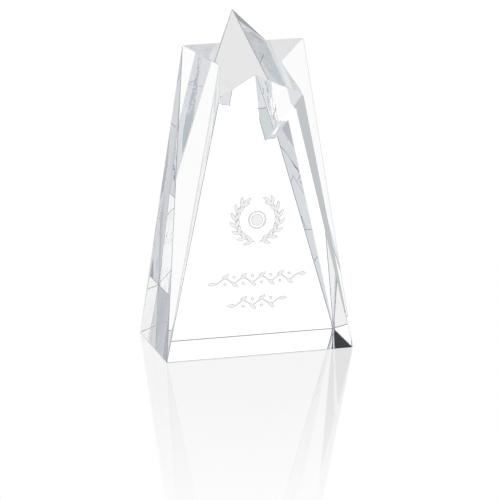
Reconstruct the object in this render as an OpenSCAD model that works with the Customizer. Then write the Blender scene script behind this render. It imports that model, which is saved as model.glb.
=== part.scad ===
// Star tower award: one clear polished block. It stands on a rectangular foot and is cut in,
// facet by facet, to a five-pointed star that slopes up towards the back.
// Frosted marks are sunk into the upright front face: a laurel wreath and two garlands.
// Origin: middle of the foot's underside. +X is the block's width, -Y its front, +Z up.

/* [Block] */
// Width of the foot, left to right
foot_w = 104; // [96:1:112]
// Depth of the block, front to back
block_d = 57.4; // [54:0.2:62]
// Height of the star's back tip
tower_h = 178; // [168:1:190]

/* [Star] */
// Height of the star's two front tips
front_tip_h = 143.4; // [138:0.2:150]
// Distance between the two front tips
front_tips_w = 46; // [42:0.5:50]
// Distance between the two side tips
side_tips_w = 67.2; // [62:0.2:72]
// How far the side arms' straight rear edge lies behind the block's middle
rear_edge_y = 6.9; // [5:0.1:9]
// Width of the back arm where it leaves the side arms
back_arm_w = 25.2; // [22:0.2:28]
// Distance between the two waist notches
waist_w = 34; // [31:0.5:37]
// How far the waist notches lie in front of the block's middle
waist_y = 7.7; // [6:0.1:9]
// How far the front notch is cut in behind the front face
front_notch = 13.3; // [10:0.1:16]
// Height at which the front notch's groove runs out on the front face
groove_end_h = 112; // [105:1:120]

/* [Frosted marks] */
// Depth of the marks below the front face
mark_depth = 0.4; // [0.2:0.1:0.8]
// How far the marks' middle lies to the left of the block's middle
mark_shift = 2; // [0:0.5:4]
// Height of the wreath's middle
wreath_h = 75.5; // [72:0.5:82]
// Radius of the wreath's stems
wreath_r = 12; // [11:0.1:13]
// Leaf pairs on each branch of the wreath
leaf_pairs = 7; // [5:1:8]
// Length of the upper garland
upper_garland_w = 55.5; // [44:0.5:58]
// Height of the upper garland's middle
upper_garland_h = 42.8; // [40:0.2:46]
// Length of the lower garland
lower_garland_w = 34; // [26:0.5:40]
// Height of the lower garland's middle
lower_garland_h = 30; // [27:0.2:32]

/* [Hidden] */
$fn = 48;

half_w = foot_w / 2;
half_d = block_d / 2;
star_slope = (tower_h - front_tip_h) / block_d;
cut_over = 1;           // a cutter stands this far proud of the face it cuts

leaf_l = 5.2;           // wreath leaf, tip to tip
leaf_w = 1.9;
leaf_lean = 32;         // angle between a leaf and the stem
stem_w = 0.7;
stem_start = 6;         // degrees from the wreath's lowest point
stem_end = 145;
boss_r = 3.2;
boss_ring_r = 5;
boss_ring_w = 0.8;

wave_l = 10.2;          // one full wave of a garland's stem
wave_h = 1.3;           // height of each wave above the stem's middle
wave_steps = 16;        // straight steps in a wave
garland_stem_w = 0.8;
garland_leaf_l = 4.8;
garland_leaf_w = 2;
garland_lean = 40;      // angle between a garland's leaves and its length
leaf_lead = 1.6;        // a leaf leaves the stem this far before the wave's top
berry_r = 0.8;
berry_drop = 1.9;       // from the garland's middle line to a berry

// A point of the star's sloping top face
function star_point(x, y) = [x, y, tower_h - (half_d - y) * star_slope];

// Corners of the block: the foot, then the star clockwise from its back tip, then the groove's end
FOOT_FL = 0;
FOOT_FR = 1;
FOOT_BR = 2;
FOOT_BL = 3;
BACK_TIP = 4;
REAR_R = 5;
SIDE_R = 6;
WAIST_R = 7;
FRONT_R = 8;
FRONT_NOTCH = 9;
FRONT_L = 10;
WAIST_L = 11;
SIDE_L = 12;
REAR_L = 13;
GROOVE_END = 14;
corners = [
    [-half_w, -half_d, 0],
    [half_w, -half_d, 0],
    [half_w, half_d, 0],
    [-half_w, half_d, 0],
    star_point(0, half_d),
    star_point(back_arm_w / 2, rear_edge_y),
    star_point(side_tips_w / 2, rear_edge_y),
    star_point(waist_w / 2, -waist_y),
    star_point(front_tips_w / 2, -half_d),
    star_point(0, front_notch - half_d),
    star_point(-front_tips_w / 2, -half_d),
    star_point(-waist_w / 2, -waist_y),
    star_point(-side_tips_w / 2, rear_edge_y),
    star_point(-back_arm_w / 2, rear_edge_y),
    [0, -half_d, groove_end_h],
];
star_faces = [
    [BACK_TIP, REAR_R, REAR_L],
    [SIDE_R, WAIST_R, REAR_R],
    [FRONT_R, FRONT_NOTCH, WAIST_R],
    [FRONT_L, WAIST_L, FRONT_NOTCH],
    [SIDE_L, REAR_L, WAIST_L],
    [REAR_R, WAIST_R, FRONT_NOTCH, WAIST_L, REAR_L],
];
front_faces = [
    [FOOT_FL, FRONT_L, GROOVE_END, FRONT_R, FOOT_FR],
    [FRONT_L, FRONT_NOTCH, GROOVE_END],
    [FRONT_R, GROOVE_END, FRONT_NOTCH],
    [FOOT_FL, WAIST_L, FRONT_L],
    [FOOT_FR, FRONT_R, WAIST_R],
    [FOOT_FL, SIDE_L, WAIST_L],
    [FOOT_FR, WAIST_R, SIDE_R],
];
side_faces = [
    [FOOT_FL, FOOT_BL, SIDE_L],
    [FOOT_FR, SIDE_R, FOOT_BR],
];
back_faces = [
    [FOOT_BL, REAR_L, SIDE_L],
    [FOOT_BR, SIDE_R, REAR_R],
    [FOOT_BL, BACK_TIP, REAR_L],
    [FOOT_BR, REAR_R, BACK_TIP],
    [FOOT_BL, FOOT_BR, BACK_TIP],
];
foot_face = [[FOOT_FL, FOOT_FR, FOOT_BR, FOOT_BL]];

// A pointed leaf along +X from the origin: the overlap of two equal circles, raised by h
module leaf(l, w, h) {
    r = (l * l + w * w) / (4 * w);
    linear_extrude(h) intersection() {
        translate([l / 2, r - w / 2]) circle(r);
        translate([l / 2, w / 2 - r]) circle(r);
    }
}

module ring(r, w, h) {
    linear_extrude(h) difference() {
        circle(r);
        circle(r - w);
    }
}

// A wedge from the origin, from angle a to angle b, that reaches past the wreath
module wedge(a, b, h) {
    reach = 2 * wreath_r;
    steps = 6;
    linear_extrude(h) polygon(concat([[0, 0]], [for (i = [0:steps])
        let (t = a + (b - a) * i / steps) reach * [cos(t), sin(t)]]));
}

// The right-hand branch of the wreath: a curved stem with leaves on both sides and one at its end
module branch(h) {
    intersection() {
        ring(wreath_r + stem_w / 2, stem_w, h);
        wedge(stem_start - 90, stem_end - 90, h);
    }
    for (i = [0:leaf_pairs - 1]) {
        turn = stem_start - 90 + (stem_end - stem_start) * (i + 0.35) / leaf_pairs;
        rotate(turn) translate([wreath_r, 0]) rotate(90) {
            rotate(leaf_lean) leaf(leaf_l, leaf_w, h);
            rotate(-leaf_lean) leaf(leaf_l, leaf_w, h);
        }
    }
    rotate(stem_end - 90) translate([wreath_r, -stem_w]) rotate(90) leaf(leaf_l, leaf_w, h);
}

module boss(h) {
    cylinder(h, r = boss_r);
    ring(boss_ring_r, boss_ring_w, h);
}

function wave(x) = wave_h * sin(360 * x / wave_l);

// A waving stem with a leaf outside and a berry inside each half wave, centred on the origin
module garland(length, h) {
    stem_l = length - 2 * garland_leaf_l;
    steps = round(wave_steps * stem_l / wave_l);
    xs = [for (i = [0:steps]) stem_l * (i / steps - 0.5)];
    linear_extrude(h) polygon(concat(
        [for (x = xs) [x, wave(x) + garland_stem_w / 2]],
        [for (i = [steps:-1:0]) [xs[i], wave(xs[i]) - garland_stem_w / 2]]));
    halves = floor(stem_l / wave_l);
    for (i = [-halves:halves - 1]) {
        side = i % 2 == 0 ? 1 : -1;
        top = wave_l * (i + 0.5) / 2;
        translate([top - leaf_lead, wave(top - leaf_lead)]) rotate(side * garland_lean)
            leaf(garland_leaf_l, garland_leaf_w, h);
        translate([top, -side * berry_drop]) cylinder(h, r = berry_r);
    }
    for (end = [-1, 1])
        translate([end * (stem_l - garland_stem_w) / 2, wave(end * stem_l / 2)])
            rotate(end > 0 ? 0 : 180) leaf(garland_leaf_l, garland_leaf_w, h);
}

// Stands a flat shape up in the front face: its back on the marks' floor, its front out towards -Y
module on_front(h) {
    translate([-mark_shift, mark_depth - half_d, h]) rotate([90, 0, 0]) children();
}

module left_mark(out) {
    on_front(wreath_h) mirror([1, 0, 0]) branch(out);
}

module right_mark(out) {
    on_front(wreath_h) branch(out);
}

module boss_mark(out) {
    on_front(wreath_h) boss(out);
}

module upper_mark(out) {
    on_front(upper_garland_h) garland(upper_garland_w, out);
}

module lower_mark(out) {
    on_front(lower_garland_h) garland(lower_garland_w, out);
}

module clear_block() {
    cut = mark_depth + cut_over;
    color("aliceblue", 0.35) difference() {
        polyhedron(corners, concat(star_faces, front_faces, side_faces, back_faces, foot_face));
        left_mark(cut);
        right_mark(cut);
        boss_mark(cut);
        upper_mark(cut);
        lower_mark(cut);
    }
}

module wreath_left() {
    color("lightgray") left_mark(mark_depth);
}

module wreath_right() {
    color("lightgray") right_mark(mark_depth);
}

module wreath_boss() {
    color("lightgray") boss_mark(mark_depth);
}

module upper_garland() {
    color("lightgray") upper_mark(mark_depth);
}

module lower_garland() {
    color("lightgray") lower_mark(mark_depth);
}

clear_block();
wreath_left();
wreath_right();
wreath_boss();
upper_garland();
lower_garland();
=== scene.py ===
import math

import bmesh
import bpy
from mathutils import Matrix, Vector


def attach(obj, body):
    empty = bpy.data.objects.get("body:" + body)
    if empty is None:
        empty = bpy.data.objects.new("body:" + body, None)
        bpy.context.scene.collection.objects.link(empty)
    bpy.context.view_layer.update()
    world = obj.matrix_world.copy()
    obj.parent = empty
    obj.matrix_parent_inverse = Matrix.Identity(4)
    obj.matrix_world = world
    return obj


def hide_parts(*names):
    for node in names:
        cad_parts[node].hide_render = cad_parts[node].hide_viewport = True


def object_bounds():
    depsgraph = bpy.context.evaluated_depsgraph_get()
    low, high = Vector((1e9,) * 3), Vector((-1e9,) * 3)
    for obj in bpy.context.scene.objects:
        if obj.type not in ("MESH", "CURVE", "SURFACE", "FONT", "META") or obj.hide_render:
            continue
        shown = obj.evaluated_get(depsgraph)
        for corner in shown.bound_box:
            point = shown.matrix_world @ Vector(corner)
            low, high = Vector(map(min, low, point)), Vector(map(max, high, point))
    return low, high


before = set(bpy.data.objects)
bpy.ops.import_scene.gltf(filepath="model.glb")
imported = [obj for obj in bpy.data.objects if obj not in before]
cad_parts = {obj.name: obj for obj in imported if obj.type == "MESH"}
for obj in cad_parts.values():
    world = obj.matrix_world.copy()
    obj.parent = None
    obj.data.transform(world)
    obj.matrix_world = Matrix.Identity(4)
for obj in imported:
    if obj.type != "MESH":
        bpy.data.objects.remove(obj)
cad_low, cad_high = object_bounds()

# ---- Clear block ----
# One block of optical crystal, sawn to the tower's shape and then ground and hand polished,
# facet by facet. Ridges keep the small rounding that the polishing felt leaves, the grooves
# that of the wheel's rim, and the front groove runs out gently into the upright front face.
MM = 0.001
MERGE = 0.001 * MM
FLAT_ANGLE = math.radians(0.4)   # triangles that lean less than this are one flat facet
EDGE_ANGLE = math.radians(2)     # the block's facets meet at more than this
CUT_EDGE = 9 * MM                # the marks' own edges are all shorter than this
RIDGE_ROUNDING = 0.28 * MM
RIDGE_STEPS = 3
RIM_ROUNDING = 2.0 * MM          # where the front groove meets the upright front face
RIM_STEPS = 20
VALLEY_ROUNDING = 0.6 * MM
VALLEY_STEPS = 12
UNSHADED_UP_FACING = 0.28                  # ridge strips that face up more than this stay clear; the others get the painted shade
CRYSTAL_TINT = "ffffff"
CRYSTAL_IOR = 1.50
RIPPLE_L = 14 * MM               # hand polishing leaves the facets very slightly wavy
RIPPLE_H = 0.02 * MM
# The other ridge strips are satin, with a dark grey painted shade in their colour, so that
# the edges show as thin grey lines.
EDGE_PAINTED_SHADE_DARK = "43484d"
EDGE_PAINTED_SHADE_PALE = "6c7176"
EDGE_ROUGHNESS = 0.45
EDGE_GRAIN = 2.5 * MM


def merged_copy(node, name):
    """A new piece with a CAD node's mesh, its loose triangles joined and its facets whole."""
    mesh = bpy.data.meshes.new(name)
    bm = bmesh.new()
    bm.from_mesh(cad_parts[node].data)
    bmesh.ops.remove_doubles(bm, verts=bm.verts, dist=MERGE)
    for face in bm.faces:
        face.smooth = False
    bmesh.ops.dissolve_limit(bm, angle_limit=FLAT_ANGLE, verts=bm.verts, edges=bm.edges)
    bm.to_mesh(mesh)
    bm.free()
    piece = bpy.data.objects.new(name, mesh)
    bpy.context.scene.collection.objects.link(piece)
    return piece


def finish_mesh(bm, piece):
    """Writes the mesh back with its faces pointing out and without the CAD's own shading."""
    bmesh.ops.recalc_face_normals(bm, faces=bm.faces)
    bm.to_mesh(piece.data)
    bm.free()
    carried = piece.data.attributes.get("custom_normal")
    if carried:
        piece.data.attributes.remove(carried)


def linear(code):
    """An sRGB hex colour as linear red, green, blue and alpha."""
    parts = [int(code[i:i + 2], 16) / 255 for i in (0, 2, 4)]
    return (*(c / 12.92 if c <= 0.04045 else ((c + 0.055) / 1.055) ** 2.4 for c in parts), 1)


def add(tree, kind, settings=(), links=()):
    """Adds a node: its properties and input values, then what feeds its inputs."""
    made = tree.nodes.new("ShaderNode" + kind)
    for key, value in dict(settings).items():
        if isinstance(key, str) and hasattr(made, key):
            setattr(made, key, value)
        else:
            made.inputs[key].default_value = value
    for key, source in dict(links).items():
        tree.links.new(source, made.inputs[key])
    return made


def new_material(name):
    """A material of that name with an empty node tree, and the tree."""
    material = bpy.data.materials.new(name)
    material.use_nodes = True
    material.node_tree.nodes.clear()
    return material, material.node_tree


block = merged_copy("clear_block", "crystal_block")
bm = bmesh.new()
bm.from_mesh(block.data)


def is_edge(edge):
    """True for an edge between two of the block's own facets, not for the marks' small edges."""
    return (len(edge.link_faces) == 2 and edge.calc_length() > CUT_EDGE
            and edge.calc_face_angle() > EDGE_ANGLE)


def is_rim(edge):
    """True for the two upper edges where the groove meets the upright front face."""
    return all(v.co.y < cad_low.y + MERGE and v.co.z > cad_high.z / 2 for v in edge.verts)


def round_edges(bm, edges, rounding, steps):
    """Rounds these edges, by that distance on each side, and returns the new strips' faces."""
    made = bmesh.ops.bevel(bm, geom=edges, offset=rounding, offset_type="OFFSET",
                           segments=steps, profile=0.5, affect="EDGES", material=-1,
                           clamp_overlap=False, loop_slide=True)
    return made["faces"]


kinds = bm.edges.layers.int.new("kind")
RIM, VALLEY, RIDGE = 1, 2, 3
for edge in bm.edges:
    if is_edge(edge):
        edge[kinds] = RIM if is_rim(edge) else RIDGE if edge.is_convex else VALLEY
for kind, rounding, steps in ((RIM, RIM_ROUNDING, RIM_STEPS),
                              (VALLEY, VALLEY_ROUNDING, VALLEY_STEPS),
                              (RIDGE, RIDGE_ROUNDING, RIDGE_STEPS)):
    for face in round_edges(bm, [e for e in bm.edges if e[kinds] == kind], rounding, steps):
        # Ridge strips that face sideways or down get the satin edge with painted shade; strips
        # facing up stay clear.
        face.material_index = int(kind == RIDGE and face.normal.z < UNSHADED_UP_FACING)
        face.smooth = False
finish_mesh(bm, block)

polished_crystal, tree = new_material("polished_optical_crystal")
place = add(tree, "TexCoord")
ripple = add(tree, "TexNoise", {"Scale": 1 / RIPPLE_L, "Detail": 1.0},
             {"Vector": place.outputs["Object"]})
bump = add(tree, "Bump", {"Strength": 1.0, "Distance": RIPPLE_H},
           {"Height": ripple.outputs["Fac"]})
glass = add(tree, "BsdfPrincipled", {"Base Color": linear(CRYSTAL_TINT), "Roughness": 0.0,
                                     "IOR": CRYSTAL_IOR, "Transmission Weight": 1.0},
            {"Normal": bump.outputs["Normal"]})
add(tree, "OutputMaterial", links={"Surface": glass.outputs["BSDF"]})
block.data.materials.append(polished_crystal)
# Satin edge whose dark grey colour is painted shade, varied by a random grain between two greys.
satin_edge_painted_shade, tree = new_material("satin_crystal_edge_painted_shade")
place = add(tree, "TexCoord")
grain = add(tree, "TexNoise", {"Scale": 1 / EDGE_GRAIN, "Detail": 2.0},
            {"Vector": place.outputs["Object"]})
painted_edge_shade = add(tree, "Mix", {"data_type": "RGBA", 6: linear(EDGE_PAINTED_SHADE_DARK), 7: linear(EDGE_PAINTED_SHADE_PALE)},
           {0: grain.outputs["Fac"]})
glass = add(tree, "BsdfPrincipled", {"Roughness": EDGE_ROUGHNESS, "IOR": CRYSTAL_IOR,
                                     "Transmission Weight": 1.0},
            {"Base Color": painted_edge_shade.outputs[2]})
add(tree, "OutputMaterial", links={"Surface": glass.outputs["BSDF"]})
block.data.materials.append(satin_edge_painted_shade)
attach(block, "root")
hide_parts("clear_block")

# ---- Frosted marks ----
# A laurel wreath round a boss, and two garlands below it: shallow recesses sand-blasted into
# the upright front face through a stencil. The blast leaves a fine even frost; the grey band
# round each mark's edge is painted shade, standing in for the shaded walls of the recesses.
FROST = "f4f5f6"
# The grey rim colour and its width: painted shade for the shaded wall round each recess.
FROST_PAINTED_SHADE_RIM = "96999c"
PAINTED_SHADE_RIM_W = 0.16 * MM
AIR_GAP = 0.03 * MM              # the frost doesn't touch the clear walls round it
FROST_GRAIN = 0.35 * MM
FROST_DEPTH = 0.05 * MM
FROST_STRENGTH = 0.3
FROST_ROUGHNESS = 0.75
FRONTWARD = -0.9                 # the normal of a mark's front face has a Y below this


def frost_material(name, colour):
    """Frosted crystal with a fine random grain."""
    material, tree = new_material(name)
    place = add(tree, "TexCoord")
    grain = add(tree, "TexNoise", {"Scale": 1 / FROST_GRAIN, "Detail": 3.0},
                {"Vector": place.outputs["Object"]})
    bump = add(tree, "Bump", {"Strength": FROST_STRENGTH, "Distance": FROST_DEPTH},
               {"Height": grain.outputs["Fac"]})
    surface = add(tree, "BsdfPrincipled",
                  {"Base Color": linear(colour), "Roughness": FROST_ROUGHNESS},
                  {"Normal": bump.outputs["Normal"]})
    add(tree, "OutputMaterial", links={"Surface": surface.outputs["BSDF"]})
    return material


frost = frost_material("sand_blasted_frost", FROST)
frost_painted_shade_rim = frost_material("painted_shade_rim_of_frost", FROST_PAINTED_SHADE_RIM)
for name in ("wreath_left", "wreath_right", "wreath_boss", "upper_garland", "lower_garland"):
    mark = merged_copy(name, "frosted_" + name)
    bm = bmesh.new()
    bm.from_mesh(mark.data)
    bmesh.ops.recalc_face_normals(bm, faces=bm.faces)
    bm.normal_update()
    for vert, normal in [(v, v.normal.copy()) for v in bm.verts]:
        vert.co -= normal * AIR_GAP
    front = [f for f in bm.faces if f.normal.y < FRONTWARD]
    rim = bmesh.ops.inset_region(bm, faces=front, thickness=PAINTED_SHADE_RIM_W, use_even_offset=True)
    # The inset band round each mark's front gets the grey rim, which is painted shade.
    for face in rim["faces"]:
        face.material_index = 1
    finish_mesh(bm, mark)
    mark.data.materials.append(frost)
    mark.data.materials.append(frost_painted_shade_rim)
    mark.visible_glossy = False
    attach(mark, "root")
    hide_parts(name)

# ---- Floor ----
# A glossy white acrylic table, lit from below, on which the award stands and is mirrored.
# Its mirror fades out away from the award, so that the table runs into the white behind it.
FLOOR_R = 2.4
FLOOR_SIDES = 96
FLOOR_GAP = 0.1 * MM
GLOSS_NEAR = 0.09                # full mirror within this distance of the award's middle
GLOSS_FAR = 0.34                 # and none beyond this one
MIRROR = 0.15
MIRROR_ROUGHNESS = 0.02
TENT_GLARE = 1.67                # brightness of the tent's wall where it is mirrored
WHITE = (1, 1, 1, 1)
bm = bmesh.new()
bmesh.ops.create_circle(bm, cap_ends=True, segments=FLOOR_SIDES, radius=FLOOR_R,
                        matrix=Matrix.Translation((0, 0, cad_low.z - FLOOR_GAP)))
floor_mesh = bpy.data.meshes.new("floor")
bm.to_mesh(floor_mesh)
bm.free()
floor = bpy.data.objects.new("floor", floor_mesh)
bpy.context.scene.collection.objects.link(floor)
white_acrylic, tree = new_material("white_light_table")
place = add(tree, "TexCoord")
away = add(tree, "VectorMath", {"operation": "LENGTH"}, {0: place.outputs["Object"]})
gloss = add(tree, "MapRange", {"From Min": GLOSS_NEAR, "From Max": GLOSS_FAR, "To Min": 1.0,
                               "To Max": 0.0}, {"Value": away.outputs["Value"]})
glow = add(tree, "Emission", {"Color": WHITE, "Strength": 1.0})
under = add(tree, "Emission", {"Color": WHITE, "Strength": 1 - MIRROR * TENT_GLARE})
mirror = add(tree, "BsdfGlossy", {"Color": (MIRROR, MIRROR, MIRROR, 1),
                                  "Roughness": MIRROR_ROUGHNESS})
glazed = add(tree, "AddShader", links={0: under.outputs[0], 1: mirror.outputs[0]})
table_top = add(tree, "MixShader", links={0: gloss.outputs[0], 1: glow.outputs[0],
                                          2: glazed.outputs[0]})
add(tree, "OutputMaterial", links={"Surface": table_top.outputs[0]})
floor_mesh.materials.append(white_acrylic)
floor.visible_transmission = False
floor.visible_glossy = False
floor.visible_diffuse = False

# ---- Studio light ----
# A light tent: a pale surround with soft bright panels and grey cards in it, which the clear
# crystal bends. The camera itself sees plain white behind the award. The table and the
# crystal's outer faces mirror a bright tent that is dim below the horizon and at the very top.
world = bpy.data.worlds.new("light_tent")
bpy.context.scene.world = world
world.use_nodes = True
tree = world.node_tree
tree.nodes.clear()


def direction(turn, rise):
    """The unit vector that many degrees to the right of straight back, and above the level."""
    turn, rise = math.radians(turn), math.radians(rise)
    return Vector((math.sin(turn) * math.cos(rise), math.cos(turn) * math.cos(rise),
                   math.sin(rise)))


# Each panel or card: its turn and rise, the radius where it starts to fade and the one where
# it has gone, all in degrees, its grey and its brightness. Later ones stand before earlier ones.
PANELS = [
    (-80, -53, 9, 14, "ffffff", 1.0),
    (-150, -18, 10, 18, "f6f7f8", 1.0),
    (-125, -50, 6, 14, "b5b8bc", 1.0),
    (140, -22, 12, 24, "b9bfc6", 1.0),
    (-90, 30, 8, 22, "9aa5b0", 1.0),
    (66, 28, 10, 19, "a4aeb8", 1.0),
    (165, 25, 6, 14, "b4bac0", 1.0),
    (-126, 24, 4, 9, "8792a0", 1.0),
    (-153, 5, 3, 8, "98948f", 1.0),
    (48, 69, 10, 18, "202020", 1.0),
    (28, -54, 14, 20, "ebebeb", 1.0),
    (45, -57, 3, 8, "9aa1a8", 1.0),
    (11, -17, 15, 26, "ffffff", 1.12),
    (37, -26, 7, 16, "ffffff", 0.96),
    (-7, -29, 5, 11, "ffffff", 0.93),
    (-13, -19, 4, 9, "f2f2f3", 1.0),
    (25, -10, 4, 9, "ced3d7", 1.0),
    (27, -37, 4, 9, "b4babe", 1.0),
    (11, -40, 4, 9, "c9cfd2", 1.0),
    (94, -12, 5, 12, "f6f6f6", 1.0),
    (6, 1, 5, 9, "cfd3d7", 1.0),
    (14, 16, 7, 12, "ffffff", 1.13),
    (-5, 27, 9, 14, "ffffff", 1.3),
    (-22, -6, 5, 12, "b0b6bc", 1.0),
    (-31, -20, 5, 12, "98a0a8", 1.0),
    (-43, -27, 5, 9, "bfc3c5", 1.0),
    (-21, 9, 8, 14, "0c0d0e", 1.0),
]
ROOM_GREY = "d9dce0"
# The mirrored tent, from straight down at 0 to straight up at 1
BELOW_LEVEL = 0.495
ABOVE_LEVEL = 0.505
BRIGHT_TO = 0.88
DIM_FROM = 0.94
DIM_BELOW = (0.33, 0.33, 0.34, 1)
DIM_TOP = (0.2, 0.2, 0.2, 1)
BOUNCES = 32                     # light crosses the crystal many times before it leaves
ray = add(tree, "TexCoord")
room = add(tree, "RGB")
room.outputs[0].default_value = linear(ROOM_GREY)
tent = room.outputs[0]
for turn, rise, inner, outer, grey, strength in PANELS:
    facing = add(tree, "VectorMath", {"operation": "DOT_PRODUCT", 1: direction(turn, rise)},
                 {0: ray.outputs["Generated"]})
    inside = add(tree, "MapRange", {"interpolation_type": "SMOOTHSTEP",
                                    "From Min": math.cos(math.radians(outer)),
                                    "From Max": math.cos(math.radians(inner))},
                 {"Value": facing.outputs["Value"]})
    colour = [strength * c for c in linear(grey)[:3]] + [1]
    tent = add(tree, "Mix", {"data_type": "RGBA", 7: colour},
               {0: inside.outputs[0], 6: tent}).outputs[2]
path = add(tree, "LightPath")
height = add(tree, "SeparateXYZ", links={"Vector": ray.outputs["Generated"]})
level = add(tree, "MapRange", {"From Min": -1.0}, {"Value": height.outputs["Z"]})
glare = add(tree, "ValToRGB", links={"Fac": level.outputs[0]})
glare.color_ramp.elements[0].position = BELOW_LEVEL
glare.color_ramp.elements[0].color = DIM_BELOW
glare.color_ramp.elements[1].position = ABOVE_LEVEL
glare.color_ramp.elements.new(BRIGHT_TO).color = WHITE
glare.color_ramp.elements.new(DIM_FROM).color = DIM_TOP
plain = add(tree, "Background", {"Color": WHITE})
mirrored = add(tree, "Background", {"Strength": TENT_GLARE}, {"Color": glare.outputs["Color"]})
through = add(tree, "Background", {"Strength": 1.0}, {"Color": tent})
outside = add(tree, "MixShader", links={0: path.outputs["Is Glossy Ray"], 1: plain.outputs[0],
                                        2: mirrored.outputs[0]})
surround = add(tree, "MixShader", links={0: path.outputs["Is Transmission Ray"],
                                         1: outside.outputs[0], 2: through.outputs[0]})
add(tree, "OutputWorld", links={"Surface": surround.outputs[0]})
bpy.context.scene.view_settings.view_transform = "Standard"
bpy.context.scene.cycles.max_bounces = BOUNCES
bpy.context.scene.cycles.transmission_bounces = BOUNCES
bpy.context.scene.cycles.glossy_bounces = BOUNCES

# ---- Camera ----
# A long lens in front of the award, a little to its left and above it.
CAMERA_TURN = math.radians(-15.88)
CAMERA_RISE = math.radians(15.17)
CAMERA_ROLL = math.radians(0.14)
CAMERA_AWAY = 2.301
PIVOT = Vector((0, 0, 0.085))    # near the award's middle
AIM_RIGHT = 0.00211              # the lens points this far beside the pivot
AIM_BELOW = 0.03293              # and this far below it
SENSOR = 36
LENS = 308.1
NEAREST = 0.05
FARTHEST = 50
back = Vector((math.sin(CAMERA_TURN) * math.cos(CAMERA_RISE),
               -math.cos(CAMERA_TURN) * math.cos(CAMERA_RISE), math.sin(CAMERA_RISE)))
right = Vector((math.cos(CAMERA_TURN), math.sin(CAMERA_TURN), 0))
over = back.cross(right)
aim = PIVOT + right * AIM_RIGHT - over * AIM_BELOW
camera_data = bpy.data.cameras.new("camera")
camera_data.sensor_width = SENSOR
camera_data.lens = LENS
camera_data.clip_start = NEAREST
camera_data.clip_end = FARTHEST
camera = bpy.data.objects.new("camera", camera_data)
bpy.context.scene.collection.objects.link(camera)
camera.location = PIVOT + back * CAMERA_AWAY
camera.rotation_mode = "QUATERNION"
look = (aim - camera.location).normalized()
camera.rotation_quaternion = look.to_track_quat("-Z", "Y") @ Matrix.Rotation(
    CAMERA_ROLL, 3, "Z").to_quaternion()
bpy.context.scene.camera = camera
